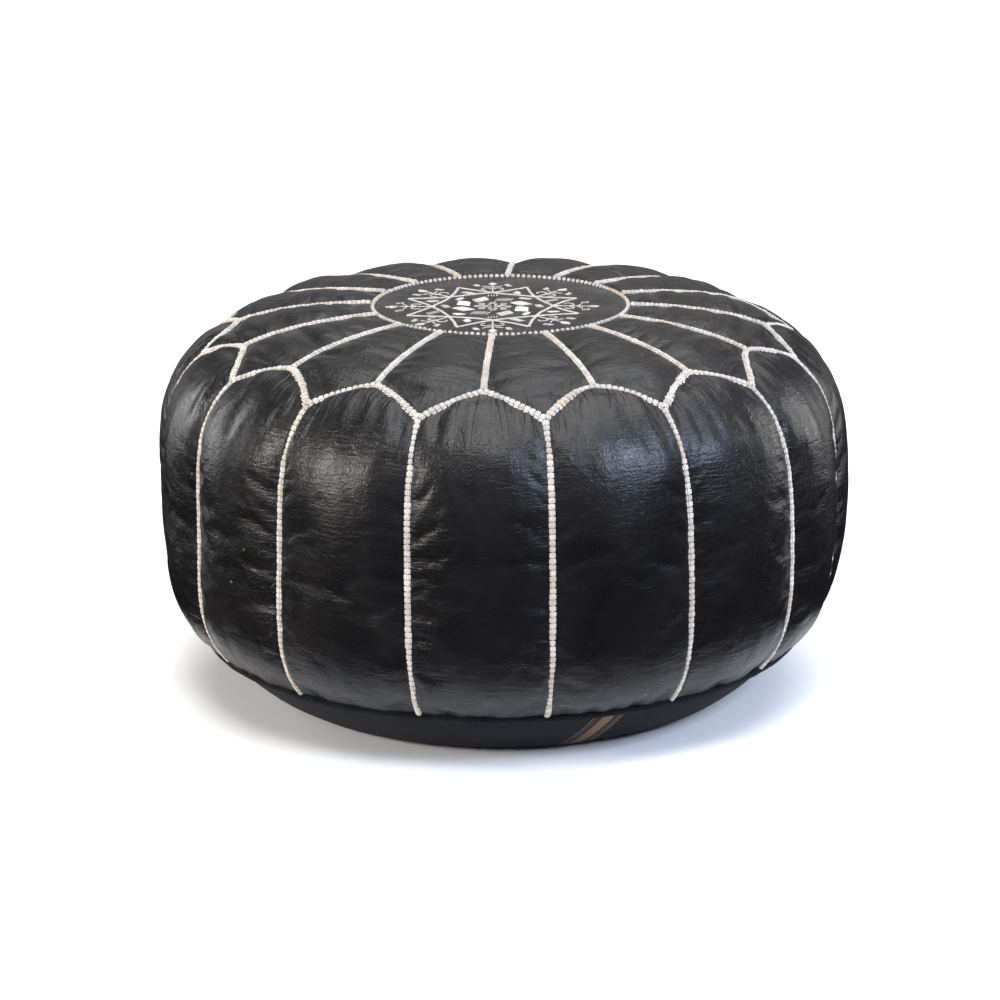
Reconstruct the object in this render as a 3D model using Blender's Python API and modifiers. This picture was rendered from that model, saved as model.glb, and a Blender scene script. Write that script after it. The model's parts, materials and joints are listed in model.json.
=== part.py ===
"""A round leather pouf with a flat medallion, sixteen petals, sixteen side panels and a zipped cloth base.

Metres, +Z up. The pouf stands on z = 0, centred on the origin, and the zip runs along X under it.
"""

import bisect
import math

import bmesh
import bpy
from mathutils import Vector

# Overall form
OUTER_DIAMETER = 0.540
HEIGHT = 0.300
CROWN_EXPONENT = 4.0  # squareness of the shoulder, above the widest height
BELLY_EXPONENT = 3.4  # squareness of the lower edge, below it
PANEL_COUNT = 16
FIRST_SEAM_DEGREES = -93.5  # azimuth of the petal seam that faces the front

# Seams
MEDALLION_RADIUS = 0.100
PEAK_INSET = 0.063  # from the outer radius to the top of a side panel's arch
VALLEY_INSET = 0.0375  # from the outer radius to the corner between two arches
ARCH_POWER = 1.8
BASE_SEAM_HEIGHT = 0.044
BRAID_DIAMETER = 0.0058
PIPING_DIAMETER = 0.0074

# Leather, cloth and filling
LEATHER_THICKNESS = 0.0014
CLOTH_THICKNESS = 0.0012
PETAL_PUFF = 0.005
SIDE_PUFF = 0.006
PUFF_ACROSS_POWER = 0.5  # the lower, the steeper a panel rises from its seams
PUFF_ALONG_POWER = 0.4
FOOT_INSET = 0.089  # from the outer radius to the edge of the flat foot
FOOT_RISE_POWER = 1.5

# Zip
ZIP_LENGTH = 0.300
ZIP_RECESS = 0.010
ZIP_RECESS_WALL = 0.018  # width of the slope from the foot up to the zip
TAPE_WIDTH = 0.0105
TAPE_THICKNESS = 0.0008
TAPE_END = 0.014
TAPE_LAP = 0.005  # how far a tape lies over the edge of the cloth
TOOTH_PITCH = 0.005
TOOTH_REACH = 0.0024
TOOTH_SPINE = 0.0008
TOOTH_THICKNESS = 0.0022
TOOTH_ROW_GAP = 0.0016  # between the two rows of teeth
STOP_LENGTH = 0.003
SLIDER_LENGTH = 0.012
SLIDER_WIDTH = 0.0092
SLIDER_PLATE = 0.0012
SLIDER_RUNNING_GAP = 0.0004
SLIDER_POST = 0.0009
CROWN_WIRE_DIAMETER = 0.0013
CROWN_LENGTH = 0.0080
PULL_LENGTH = 0.021
PULL_WIDTH = 0.0070
PULL_THICKNESS = 0.0010
PULL_BAR = 0.0012
PULL_EYE_WIDTH = 0.0028
PULL_BAR_HALF = 0.0028

# Clearances
TOUCH_GAP = 0.0003
SEAM_GAP = 0.0006  # between a braid or the piping and the edges beside it
FILL_GAP = 0.0020

WELD_DISTANCE = 0.00002

# Mesh fineness
PANEL_COLUMNS = 4
PETAL_ROWS = 4
SIDE_ROWS = 8
SIDE_ROW_SPREAD = 1.3  # rows of a side panel lie closer together on the shoulder
SECTION_STEPS = 400
ROUND_STEPS = 48
STUFFING_STEPS = 32
STUFFING_ROWS = 12
STUFFING_FOOT_ROWS = 4
PULL_END_STEPS = 8
BASE_COLUMN_WIDTH = 0.034
BASE_ROWS = 8
WALL_ROWS = 3

BRAID_RADIUS = BRAID_DIAMETER / 2
PIPING_RADIUS = PIPING_DIAMETER / 2
PITCH = 2 * math.pi / PANEL_COUNT
FIRST_SEAM = math.radians(FIRST_SEAM_DEGREES)
SEAM_RADIUS = OUTER_DIAMETER / 2 - SIDE_PUFF
WIDEST_HEIGHT = HEIGHT / 2

# Levels and widths of the zip, from the cloth up
CLOTH_TOP = ZIP_RECESS + CLOTH_THICKNESS
TAPE_BOTTOM = CLOTH_TOP + TOUCH_GAP
TAPE_MIDDLE = TAPE_BOTTOM + TAPE_THICKNESS / 2
TOOTH_BOTTOM = TAPE_MIDDLE - TOOTH_THICKNESS / 2
TOOTH_TOP = TAPE_MIDDLE + TOOTH_THICKNESS / 2
ROW_INNER = TOOTH_ROW_GAP / 2
ROW_OUTER = ROW_INNER + TOOTH_REACH
TAPE_INNER = ROW_OUTER + TOUCH_GAP
TAPE_OUTER = TAPE_INNER + TAPE_WIDTH
CLOTH_EDGE = TAPE_OUTER - TAPE_LAP
TAPE_HALF = ZIP_LENGTH / 2 + TAPE_END
FRONT_PLATE_TOP = TOOTH_BOTTOM - SLIDER_RUNNING_GAP
FRONT_PLATE_BOTTOM = FRONT_PLATE_TOP - SLIDER_PLATE
BACK_PLATE_BOTTOM = TOOTH_TOP + SLIDER_RUNNING_GAP
BACK_PLATE_TOP = BACK_PLATE_BOTTOM + SLIDER_PLATE
SLIDER_REST = ZIP_LENGTH / 2 - SLIDER_LENGTH / 2 - SLIDER_RUNNING_GAP
PULL_SWING = math.hypot(PULL_BAR, PULL_THICKNESS) / 2 + TOUCH_GAP / 2
PULL_AXIS_HEIGHT = FRONT_PLATE_BOTTOM - PULL_SWING
CROWN_HEIGHT = PULL_AXIS_HEIGHT - PULL_SWING - CROWN_WIRE_DIAMETER / 2


def clear_scene():
    for old in list(bpy.data.objects):
        bpy.data.objects.remove(old)


def new_collection(name):
    collection = bpy.data.collections.new(name)
    bpy.context.scene.collection.children.link(collection)
    return collection


def new_material(name, colour, roughness, metallic=0.0):
    material = bpy.data.materials.new(name)
    material.use_nodes = True
    shader = material.node_tree.nodes["Principled BSDF"]
    shader.inputs["Base Color"].default_value = (*colour, 1.0)
    shader.inputs["Roughness"].default_value = roughness
    shader.inputs["Metallic"].default_value = metallic
    return material


def finish(obj, material, smooth_degrees=35):
    """Gives the object its material and smooth shading, and puts it in the pouf's collection."""
    obj.data.materials.clear()
    obj.data.materials.append(material)
    obj.data.shade_smooth()
    obj.data.set_sharp_from_angle(angle=math.radians(smooth_degrees))
    for collection in list(obj.users_collection):
        collection.objects.unlink(obj)
    POUF.objects.link(obj)
    return obj


def section_points():
    """The outline that the seams lie on, as (radius, height) from the top centre to the lowest edge."""
    points = []
    for step in range(SECTION_STEPS + 1):
        angle = math.pi / 2 - math.pi * step / SECTION_STEPS
        power = CROWN_EXPONENT if angle >= 0 else BELLY_EXPONENT
        radius = SEAM_RADIUS * abs(math.cos(angle)) ** (2 / power)
        rise = WIDEST_HEIGHT * abs(math.sin(angle)) ** (2 / power)
        points.append((radius, WIDEST_HEIGHT + math.copysign(rise, angle)))
    return points


def running_lengths(points):
    lengths = [0.0]
    for (r0, z0), (r1, z1) in zip(points, points[1:]):
        lengths.append(lengths[-1] + math.hypot(r1 - r0, z1 - z0))
    return lengths


SECTION = section_points()
LENGTHS = running_lengths(SECTION)


def length_at_radius(radius):
    """Length along the section where the top side reaches this radius."""
    for (r0, _), (r1, _), start, end in zip(SECTION, SECTION[1:], LENGTHS, LENGTHS[1:]):
        if r0 <= radius <= r1:
            return start + (end - start) * (radius - r0) / (r1 - r0)
    return LENGTHS[-1]


def length_at_height(height):
    """Length along the section where the lower side comes down to this height."""
    for (_, z0), (_, z1), start, end in zip(SECTION, SECTION[1:], LENGTHS, LENGTHS[1:]):
        if z0 >= height >= z1 and z0 < WIDEST_HEIGHT:
            return start + (end - start) * (z0 - height) / (z0 - z1)
    return LENGTHS[-1]


def on_section(length):
    """(radius, height, outward normal) at a length along the section."""
    index = min(bisect.bisect_left(LENGTHS, length, lo=1), len(SECTION) - 1) - 1
    (r0, z0), (r1, z1) = SECTION[index], SECTION[index + 1]
    span = LENGTHS[index + 1] - LENGTHS[index]
    share = (length - LENGTHS[index]) / span
    normal = (-(z1 - z0) / span, (r1 - r0) / span)
    return r0 + (r1 - r0) * share, z0 + (z1 - z0) * share, normal


def surface_point(length, azimuth, out=0.0):
    radius, height, (normal_r, normal_z) = on_section(length)
    radius += out * normal_r
    return Vector((radius * math.cos(azimuth), radius * math.sin(azimuth), height + out * normal_z))


RING_LENGTH = length_at_radius(MEDALLION_RADIUS)
PEAK_LENGTH = length_at_radius(OUTER_DIAMETER / 2 - PEAK_INSET)
VALLEY_LENGTH = length_at_radius(OUTER_DIAMETER / 2 - VALLEY_INSET)
BASE_LENGTH = length_at_height(BASE_SEAM_HEIGHT)


def arch_length(offset):
    """Length along the section of the scalloped seam: offset is 0 on an arch's peak and 1 in a valley."""
    return PEAK_LENGTH + (VALLEY_LENGTH - PEAK_LENGTH) * abs(offset) ** ARCH_POWER


def arch_margin(offset):
    """Half the gap for the braid, measured down the section, where the scalloped seam slopes."""
    half_panel = (OUTER_DIAMETER / 2 - VALLEY_INSET) * PITCH / 2
    slope = ARCH_POWER * abs(offset) ** (ARCH_POWER - 1) * (VALLEY_LENGTH - PEAK_LENGTH) / half_panel
    return (BRAID_RADIUS + SEAM_GAP) * math.hypot(1, slope)


def panel_azimuth(middle, share, radius):
    """Azimuth across a panel, from edge to edge, leaving room for the braids beside it."""
    width = PITCH - 2 * (BRAID_RADIUS + SEAM_GAP) / radius
    return middle + (share - 0.5) * width


def puff(share_across, share_along, amount):
    across = math.sin(math.pi * share_across)
    along = math.sin(math.pi * share_along)
    return amount * max(across, 0.0) ** PUFF_ACROSS_POWER * max(along, 0.0) ** PUFF_ALONG_POWER


def leather_panel(name, middle, rows, spread, ends, amount):
    """A leather panel: a grid laid on the form between its seams, puffed out, with the leather's thickness.

    ends gives the start and end length along the section for an offset of -1 to 1 across the panel.
    """
    mesh = bpy.data.meshes.new(name)
    shape = bmesh.new()
    bmesh.ops.create_grid(shape, x_segments=PANEL_COLUMNS, y_segments=rows, size=0.5)
    for vert in shape.verts:
        across = vert.co.x + 0.5
        along = 0.5 - vert.co.y
        edge_azimuth = panel_azimuth(0.0, across, OUTER_DIAMETER / 2 - PEAK_INSET)
        start, end = ends(edge_azimuth / (PITCH / 2))
        length = start + (end - start) * along**spread
        azimuth = panel_azimuth(middle, across, on_section(length)[0])
        vert.co = surface_point(length, azimuth, puff(across, along, amount))
    bmesh.ops.recalc_face_normals(shape, faces=shape.faces)
    if shape.faces[:][0].normal.dot(shape.faces[:][0].calc_center_median()) < 0:
        bmesh.ops.reverse_faces(shape, faces=shape.faces)
    shape.to_mesh(mesh)
    shape.free()
    panel = bpy.data.objects.new(name, mesh)
    finish(panel, BLACK_LEATHER)
    wall = panel.modifiers.new("leather", "SOLIDIFY")
    wall.thickness = LEATHER_THICKNESS
    wall.offset = -1.0
    wall.use_even_offset = True
    return panel


def petal_ends(offset):
    """A petal runs from the medallion's braid to the V of the scalloped seam, its tip in a valley."""
    from_peak = 1 - abs(offset)
    start = RING_LENGTH + BRAID_RADIUS + SEAM_GAP
    return start, arch_length(from_peak) - arch_margin(from_peak)


def side_ends(offset):
    """A side panel runs from its arch down to the piping."""
    start = arch_length(offset) + arch_margin(offset)
    return start, BASE_LENGTH - PIPING_RADIUS - SEAM_GAP


def mesh_from_curve(name, curve):
    """The curve's solid as a mesh object with its caps welded on, outside the pouf's collection."""
    guide = bpy.data.objects.new(name + "_guide", curve)
    CUTTERS.objects.link(guide)
    bpy.context.view_layer.update()
    graph = bpy.context.evaluated_depsgraph_get()
    mesh = bpy.data.meshes.new_from_object(guide.evaluated_get(graph))
    mesh.name = name
    bpy.data.objects.remove(guide)
    shape = bmesh.new()
    shape.from_mesh(mesh)
    bmesh.ops.remove_doubles(shape, verts=shape.verts, dist=WELD_DISTANCE)
    bmesh.ops.recalc_face_normals(shape, faces=shape.faces)
    shape.to_mesh(mesh)
    shape.free()
    return bpy.data.objects.new(name, mesh)


def tube(name, points, radius, cyclic=False):
    """A closed six-sided tube along points."""
    curve = bpy.data.curves.new(name, "CURVE")
    curve.dimensions = "3D"
    curve.bevel_depth = radius
    curve.bevel_resolution = 1
    curve.use_fill_caps = not cyclic
    spline = curve.splines.new("POLY")
    spline.points.add(len(points) - 1)
    for place, point in zip(spline.points, points):
        place.co = (*point, 1.0)
    spline.use_cyclic_u = cyclic
    return mesh_from_curve(name, curve)


def unite(target, helpers):
    """Joins the helpers to the target with one Boolean, through a collection of their own."""
    group = bpy.data.collections.new(f"{target.name}_arms")
    CUTTERS.children.link(group)
    for helper in helpers:
        for collection in list(helper.users_collection):
            collection.objects.unlink(helper)
        group.objects.link(helper)
        helper.hide_render = True
        helper.display_type = "WIRE"
    joint = target.modifiers.new("arms", "BOOLEAN")
    joint.operation = "UNION"
    joint.solver = "EXACT"
    joint.operand_type = "COLLECTION"
    joint.collection = group


def braid_run(name, azimuth, start, end, steps, spread=1.0):
    """A straight run of braid, with the row spread of the panels beside it."""
    span = end - start
    points = [surface_point(start + span * (step / steps) ** spread, azimuth) for step in range(steps + 1)]
    return tube(name, points, BRAID_RADIUS)


def top_braid():
    """Braid round the medallion and along the sixteen petal seams, as one piece of stitching."""
    ring_steps = 2 * PANEL_COUNT
    ring_points = [
        surface_point(RING_LENGTH, FIRST_SEAM + 2 * math.pi * step / ring_steps) for step in range(ring_steps)
    ]
    ring = finish(tube("top_braid", ring_points, BRAID_RADIUS, cyclic=True), BRAID_THREAD)
    end = PEAK_LENGTH - BRAID_RADIUS - SEAM_GAP
    runs = []
    for k in range(PANEL_COUNT):
        azimuth = FIRST_SEAM + k * PITCH
        runs.append(braid_run(f"petal_seam_{k + 1:02d}", azimuth, RING_LENGTH, end, PETAL_ROWS))
    unite(ring, runs)


def side_braid():
    """Braid along the scalloped seam and down the sixteen side seams, as one piece of stitching."""
    points = []
    for step in range(PANEL_COUNT * PANEL_COLUMNS):
        panel_share = step / PANEL_COLUMNS
        offset = 2 * abs(panel_share - round(panel_share))
        points.append(surface_point(arch_length(offset), FIRST_SEAM + panel_share * PITCH))
    scallop = finish(tube("side_braid", points, BRAID_RADIUS, cyclic=True), BRAID_THREAD)
    end = BASE_LENGTH - PIPING_RADIUS - SEAM_GAP
    runs = []
    for k in range(PANEL_COUNT):
        azimuth = FIRST_SEAM + (k + 0.5) * PITCH
        name = f"side_seam_{k + 1:02d}"
        runs.append(braid_run(name, azimuth, VALLEY_LENGTH, end, SIDE_ROWS, SIDE_ROW_SPREAD))
    unite(scallop, runs)


def medallion():
    """The round leather centre, lying flat inside its ring of braid."""
    bpy.ops.mesh.primitive_cylinder_add(
        vertices=ROUND_STEPS,
        radius=MEDALLION_RADIUS - BRAID_RADIUS - SEAM_GAP,
        depth=LEATHER_THICKNESS,
        location=(0, 0, HEIGHT - LEATHER_THICKNESS / 2),
    )
    disc = bpy.context.object
    disc.name = "medallion"
    return finish(disc, BLACK_LEATHER)


def piping():
    """A rolled welt sewn round the edge where the sides meet the base cloth."""
    radius, height, _ = on_section(BASE_LENGTH)
    bpy.ops.mesh.primitive_torus_add(
        major_segments=ROUND_STEPS,
        minor_segments=8,
        major_radius=radius,
        minor_radius=PIPING_RADIUS,
        location=(0, 0, height),
    )
    welt = bpy.context.object
    welt.name = "base_piping"
    return finish(welt, PIPING_CLOTH)


def smooth_share(value):
    value = min(max(value, 0.0), 1.0)
    return value * value * (3 - 2 * value)


FOOT_RADIUS = OUTER_DIAMETER / 2 - FOOT_INSET
CLOTH_RADIUS = on_section(BASE_LENGTH)[0] - PIPING_RADIUS - SEAM_GAP


def foot_height(radius):
    """Height of the underside: flat within the foot, then rising to the piping."""
    share = max(radius - FOOT_RADIUS, 0.0) / (CLOTH_RADIUS - FOOT_RADIUS)
    return BASE_SEAM_HEIGHT * share**FOOT_RISE_POWER


def base_height(x, y):
    """Height of the underside of the cloth, lifted beside the zip so that nothing on it meets the floor."""
    wall = smooth_share(1 - (abs(y) - CLOTH_EDGE) / ZIP_RECESS_WALL)
    return max(foot_height(math.hypot(x, y)), ZIP_RECESS * wall)


def cloth_edge(x):
    """Where the cloth's straight edge runs: open along the zip, and closed to a seam past its ends."""
    closed = smooth_share((abs(x) - TAPE_HALF + TAPE_LAP) / TAPE_LAP)
    return CLOTH_EDGE + (TOUCH_GAP / 2 - CLOTH_EDGE) * closed


def base_row(x, row):
    """How far a row of the cloth's grid is from the zip: rows lie on the recess, the foot and the rise."""
    edge = cloth_edge(x)
    rim = math.sqrt(CLOTH_RADIUS**2 - x * x)
    wall = edge + min(ZIP_RECESS_WALL, (rim - edge) / 3)
    least = (rim - wall) / BASE_ROWS
    foot = math.sqrt(max(FOOT_RADIUS**2 - x * x, 0.0))
    foot = min(max(foot, wall + least), rim - least)
    if row <= WALL_ROWS:
        return edge + (wall - edge) * row / WALL_ROWS
    if row == WALL_ROWS + 1:
        return foot
    rise_rows = BASE_ROWS - WALL_ROWS - 1
    return foot + (rim - foot) * (row - WALL_ROWS - 1) / rise_rows


def base_half(name, side):
    """Half of the round base cloth, from the zip's edge to the piping."""
    mesh = bpy.data.meshes.new(name)
    shape = bmesh.new()
    reach = math.sqrt(CLOTH_RADIUS**2 - (CLOTH_EDGE + TAPE_LAP) ** 2)
    columns = math.ceil(math.pi * reach / BASE_COLUMN_WIDTH)
    bmesh.ops.create_grid(shape, x_segments=columns, y_segments=BASE_ROWS, size=0.5)
    for vert in shape.verts:
        x = reach * math.sin(math.pi * vert.co.x)
        y = base_row(x, round((vert.co.y + 0.5) * BASE_ROWS))
        vert.co = (x, side * y, base_height(x, y))
    bmesh.ops.recalc_face_normals(shape, faces=shape.faces)
    middle = min(shape.faces, key=lambda face: face.calc_center_median().z)
    if middle.normal.z > 0:
        bmesh.ops.reverse_faces(shape, faces=shape.faces)
    shape.to_mesh(mesh)
    shape.free()
    cloth = finish(bpy.data.objects.new(name, mesh), BASE_CLOTH)
    wall = cloth.modifiers.new("cloth", "SOLIDIFY")
    wall.thickness = CLOTH_THICKNESS
    wall.offset = -1.0
    return cloth


def box(name, low, high):
    bpy.ops.mesh.primitive_cube_add(size=1.0)
    block = bpy.context.object
    block.name = name
    block.location = [(a + b) / 2 for a, b in zip(low, high)]
    block.scale = [b - a for a, b in zip(low, high)]
    bpy.ops.object.select_all(action="DESELECT")
    block.select_set(True)
    bpy.context.view_layer.objects.active = block
    bpy.ops.object.transform_apply(location=False, rotation=False, scale=True)
    return block


def stuffing():
    """The cotton filling: the form inside the leather, with a flat underside that clears the zip."""
    # The filling keeps clear of the braids' rounded backs, which sit deeper than the leather.
    inset = BRAID_RADIUS + FILL_GAP
    end = BASE_LENGTH - PIPING_RADIUS - FILL_GAP
    outline = [(0.0, HEIGHT - inset)]
    for step in range(STUFFING_ROWS + 1):
        length = RING_LENGTH + (end - RING_LENGTH) * step / STUFFING_ROWS
        radius, height, (normal_r, normal_z) = on_section(length)
        outline.append((radius - inset * normal_r, height - inset * normal_z))
    underside = BACK_PLATE_TOP + FILL_GAP
    lift = CLOTH_THICKNESS + FILL_GAP
    rim_radius = CLOTH_RADIUS - inset
    for row in range(STUFFING_FOOT_ROWS):
        share = 1 - row / STUFFING_FOOT_ROWS
        radius = FOOT_RADIUS + (rim_radius - FOOT_RADIUS) * share
        height = foot_height(radius) + lift * (1 + share)
        if height > underside:
            outline.append((radius, height))
    outline.append((FOOT_RADIUS, underside))
    outline.append((0.0, underside))
    mesh = bpy.data.meshes.new("stuffing")
    edges = [(index, index + 1) for index in range(len(outline) - 1)]
    mesh.from_pydata([(radius, 0.0, height) for radius, height in outline], edges, [])
    filling = finish(bpy.data.objects.new("stuffing", mesh), COTTON)
    turn = filling.modifiers.new("turn", "SCREW")
    turn.steps = STUFFING_STEPS
    turn.render_steps = STUFFING_STEPS
    turn.use_merge_vertices = True
    turn.merge_threshold = 0.0001
    turn.use_smooth_shade = True
    return filling


def zip_tape(name, side):
    low = (-TAPE_HALF, min(side * TAPE_INNER, side * TAPE_OUTER), TAPE_BOTTOM)
    high = (TAPE_HALF, max(side * TAPE_INNER, side * TAPE_OUTER), TAPE_BOTTOM + TAPE_THICKNESS)
    return finish(box(name, low, high), ZIP_TAPE)


def zip_teeth(name, side):
    """A row of teeth on a spine, cut as one toothed outline. One row's teeth face the other row's gaps."""
    count = round(ZIP_LENGTH / TOOTH_PITCH)
    pitch = ZIP_LENGTH / count
    spine = ROW_OUTER - TOOTH_SPINE
    first, second = (spine, ROW_INNER) if side > 0 else (ROW_INNER, spine)
    outline = [(ZIP_LENGTH / 2, side * ROW_OUTER), (-ZIP_LENGTH / 2, side * ROW_OUTER)]
    for tooth in range(count):
        start = -ZIP_LENGTH / 2 + tooth * pitch
        for share, reach in ((0.0, first), (0.5, first), (0.5, second), (1.0, second)):
            outline.append((start + share * pitch, side * reach))
    return flat_piece(name, [outline], TOOTH_THICKNESS, (0, 0, TAPE_MIDDLE), ZIP_PLASTIC)


def flat_piece(name, outlines, thickness, location, material):
    """A flat piece of this thickness from its outline, and from those of any holes in it."""
    curve = bpy.data.curves.new(name, "CURVE")
    curve.dimensions = "2D"
    curve.fill_mode = "BOTH"
    curve.extrude = thickness / 2
    for points in outlines:
        spline = curve.splines.new("POLY")
        spline.points.add(len(points) - 1)
        for place, (x, y) in zip(spline.points, points):
            place.co = (x, y, 0.0, 1.0)
        spline.use_cyclic_u = True
    piece = mesh_from_curve(name, curve)
    piece.location = location
    return finish(piece, material)


def zip_stops():
    """Small blocks at the ends of the rows: one at each top, and one across both at the bottom."""
    start = ZIP_LENGTH / 2 + TOUCH_GAP
    end = start + STOP_LENGTH
    for name, low, high in (
        ("zip_top_stop_front", -ROW_OUTER, -ROW_INNER),
        ("zip_top_stop_back", ROW_INNER, ROW_OUTER),
    ):
        finish(box(name, (start, low, TOOTH_BOTTOM), (end, high, TOOTH_TOP)), ZIP_METAL)
    bottom = box("zip_bottom_stop", (-end, -ROW_OUTER, TOOTH_BOTTOM), (-start, ROW_OUTER, TOOTH_TOP))
    finish(bottom, ZIP_METAL)


def zip_slider():
    """Two plates held apart by a post between the rows of teeth, with edge guides and a crown of wire."""
    half = SLIDER_LENGTH / 2
    wide = SLIDER_WIDTH / 2
    front = box("zip_slider", (-half, -wide, FRONT_PLATE_BOTTOM), (half, wide, FRONT_PLATE_TOP))
    finish(front, ZIP_METAL)
    pieces = [
        box("back_plate", (-half, -wide, BACK_PLATE_BOTTOM), (half, wide, BACK_PLATE_TOP)),
        box(
            "post",
            (half / 3, -SLIDER_POST / 2, FRONT_PLATE_TOP - SLIDER_PLATE / 2),
            (half - SLIDER_PLATE, SLIDER_POST / 2, BACK_PLATE_BOTTOM + SLIDER_PLATE / 2),
        ),
    ]
    guide_inner = TAPE_INNER + TOUCH_GAP
    for side, name in ((-1, "front_guide"), (1, "back_guide")):
        edges = sorted((side * guide_inner, side * wide))
        low = (-half, edges[0], FRONT_PLATE_TOP - SLIDER_PLATE / 2)
        high = (half, edges[1], TAPE_BOTTOM - TOUCH_GAP)
        pieces.append(box(name, low, high))
    leg = CROWN_LENGTH / 2
    root = FRONT_PLATE_BOTTOM + SLIDER_PLATE / 2
    crown_points = [(-leg, 0, root), (-leg, 0, PULL_AXIS_HEIGHT), (-leg / 2, 0, CROWN_HEIGHT)]
    crown_points += [(-x, y, z) for x, y, z in reversed(crown_points)]
    pieces.append(tube("crown", crown_points, CROWN_WIRE_DIAMETER / 2))
    unite(front, pieces)
    for piece in (front, *pieces):
        piece.location.x += SLIDER_REST
    return front


def zip_pull():
    """A flat tab that hangs on the crown by the bar at its end, and lies back along the closed zip."""
    half = PULL_WIDTH / 2
    eye_half = PULL_EYE_WIDTH / 2
    eye_end = CROWN_LENGTH / 2 + CROWN_WIRE_DIAMETER / 2 + SLIDER_RUNNING_GAP
    outline = [(PULL_BAR / 2, -PULL_BAR_HALF), (PULL_BAR / 2, PULL_BAR_HALF)]
    tip = -PULL_LENGTH + half
    for step in range(PULL_END_STEPS + 1):
        angle = math.pi / 2 + math.pi * step / PULL_END_STEPS
        outline.append((tip + half * math.cos(angle), half * math.sin(angle)))
    eye = [(-PULL_BAR / 2, -eye_half), (-PULL_BAR / 2, eye_half), (-eye_end, eye_half), (-eye_end, -eye_half)]
    place = (SLIDER_REST, 0, PULL_AXIS_HEIGHT)
    return flat_piece("zip_pull", [outline, eye], PULL_THICKNESS, place, ZIP_METAL)


clear_scene()
POUF = new_collection("leather_pouf")
CUTTERS = new_collection("cutters")
BLACK_LEATHER = new_material("black goat leather", (0.012, 0.012, 0.014), 0.38)
BRAID_THREAD = new_material("cream cotton thread", (0.76, 0.72, 0.66), 0.85)
PIPING_CLOTH = new_material("black rolled cloth", (0.01, 0.01, 0.013), 0.9)
BASE_CLOTH = new_material("dark woven cloth", (0.012, 0.012, 0.018), 0.95)
ZIP_TAPE = new_material("black zip tape", (0.01, 0.01, 0.01), 0.9)
ZIP_PLASTIC = new_material("black zip teeth", (0.02, 0.02, 0.02), 0.45)
ZIP_METAL = new_material("nickelled zinc", (0.55, 0.54, 0.52), 0.3, 1.0)
COTTON = new_material("cotton wadding", (0.8, 0.77, 0.7), 0.95)

medallion()
for k in range(PANEL_COUNT):
    petal_middle = FIRST_SEAM + (k + 0.5) * PITCH
    leather_panel(f"petal_{k + 1:02d}", petal_middle, PETAL_ROWS, 1.0, petal_ends, PETAL_PUFF)
    side_middle = FIRST_SEAM + k * PITCH
    leather_panel(f"side_panel_{k + 1:02d}", side_middle, SIDE_ROWS, SIDE_ROW_SPREAD, side_ends, SIDE_PUFF)
top_braid()
side_braid()
piping()
base_half("base_cloth_front", -1)
base_half("base_cloth_back", 1)
stuffing()
zip_tape("zip_tape_front", -1)
zip_tape("zip_tape_back", 1)
zip_teeth("zip_teeth_front", -1)
zip_teeth("zip_teeth_back", 1)
zip_stops()
zip_slider()
zip_pull()
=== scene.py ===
"""A stuffed leather floor pouf: the looks of each piece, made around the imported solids."""

import json
import math

import bpy
import numpy as np
from mathutils import Matrix, Vector, noise

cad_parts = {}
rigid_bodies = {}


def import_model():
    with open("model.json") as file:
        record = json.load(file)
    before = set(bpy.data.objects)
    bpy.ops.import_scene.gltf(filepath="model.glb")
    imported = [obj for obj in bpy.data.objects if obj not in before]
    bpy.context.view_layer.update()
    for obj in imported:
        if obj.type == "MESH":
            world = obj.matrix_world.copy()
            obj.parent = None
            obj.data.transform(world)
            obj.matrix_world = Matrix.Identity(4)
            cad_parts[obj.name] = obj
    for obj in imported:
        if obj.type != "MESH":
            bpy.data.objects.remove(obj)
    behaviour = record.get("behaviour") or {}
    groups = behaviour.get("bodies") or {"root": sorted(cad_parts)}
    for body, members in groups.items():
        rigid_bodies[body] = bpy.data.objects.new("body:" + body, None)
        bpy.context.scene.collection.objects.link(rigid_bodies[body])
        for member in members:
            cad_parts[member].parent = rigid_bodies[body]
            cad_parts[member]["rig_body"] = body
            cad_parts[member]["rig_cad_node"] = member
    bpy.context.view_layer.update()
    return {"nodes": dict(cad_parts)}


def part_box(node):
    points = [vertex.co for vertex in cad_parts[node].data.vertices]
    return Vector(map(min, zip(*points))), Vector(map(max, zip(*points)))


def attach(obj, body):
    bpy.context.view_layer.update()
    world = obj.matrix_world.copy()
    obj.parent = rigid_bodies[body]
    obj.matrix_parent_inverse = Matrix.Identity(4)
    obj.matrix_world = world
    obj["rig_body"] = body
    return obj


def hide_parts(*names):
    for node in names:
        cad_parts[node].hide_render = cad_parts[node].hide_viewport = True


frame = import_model()


# ---------------------------------------------------------------- camera, floor and studio light
# The pouf stands on a plain pale floor, seen from 2.5 m away and about 17 degrees above the level.
# Large soft boxes light it from above, from the sides and from behind.

AIM = Vector((-0.0013, 0.0, 0.1399))
CAMERA_DISTANCE = 2.5
CAMERA_RISE = math.radians(16.8)
CAMERA_ROLL = math.radians(-0.4)
CAMERA_LENS = 112.9

bpy.ops.object.camera_add()
camera = bpy.context.object
camera.location = AIM + CAMERA_DISTANCE * Vector((0, -math.cos(CAMERA_RISE), math.sin(CAMERA_RISE)))
level = Matrix.Rotation(math.pi / 2 - CAMERA_RISE, 3, "X")
camera.rotation_euler = (level @ Matrix.Rotation(CAMERA_ROLL, 3, "Z")).to_euler()
camera.data.lens = CAMERA_LENS
camera.data.clip_end = 60.0
bpy.context.scene.camera = camera


def srgb(code):
    """A hex colour as the linear values that a shader takes."""
    parts = [int(code[i : i + 2], 16) / 255 for i in (1, 3, 5)]
    return tuple(p / 12.92 if p <= 0.04045 else ((p + 0.055) / 1.055) ** 2.4 for p in parts) + (1.0,)


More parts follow.
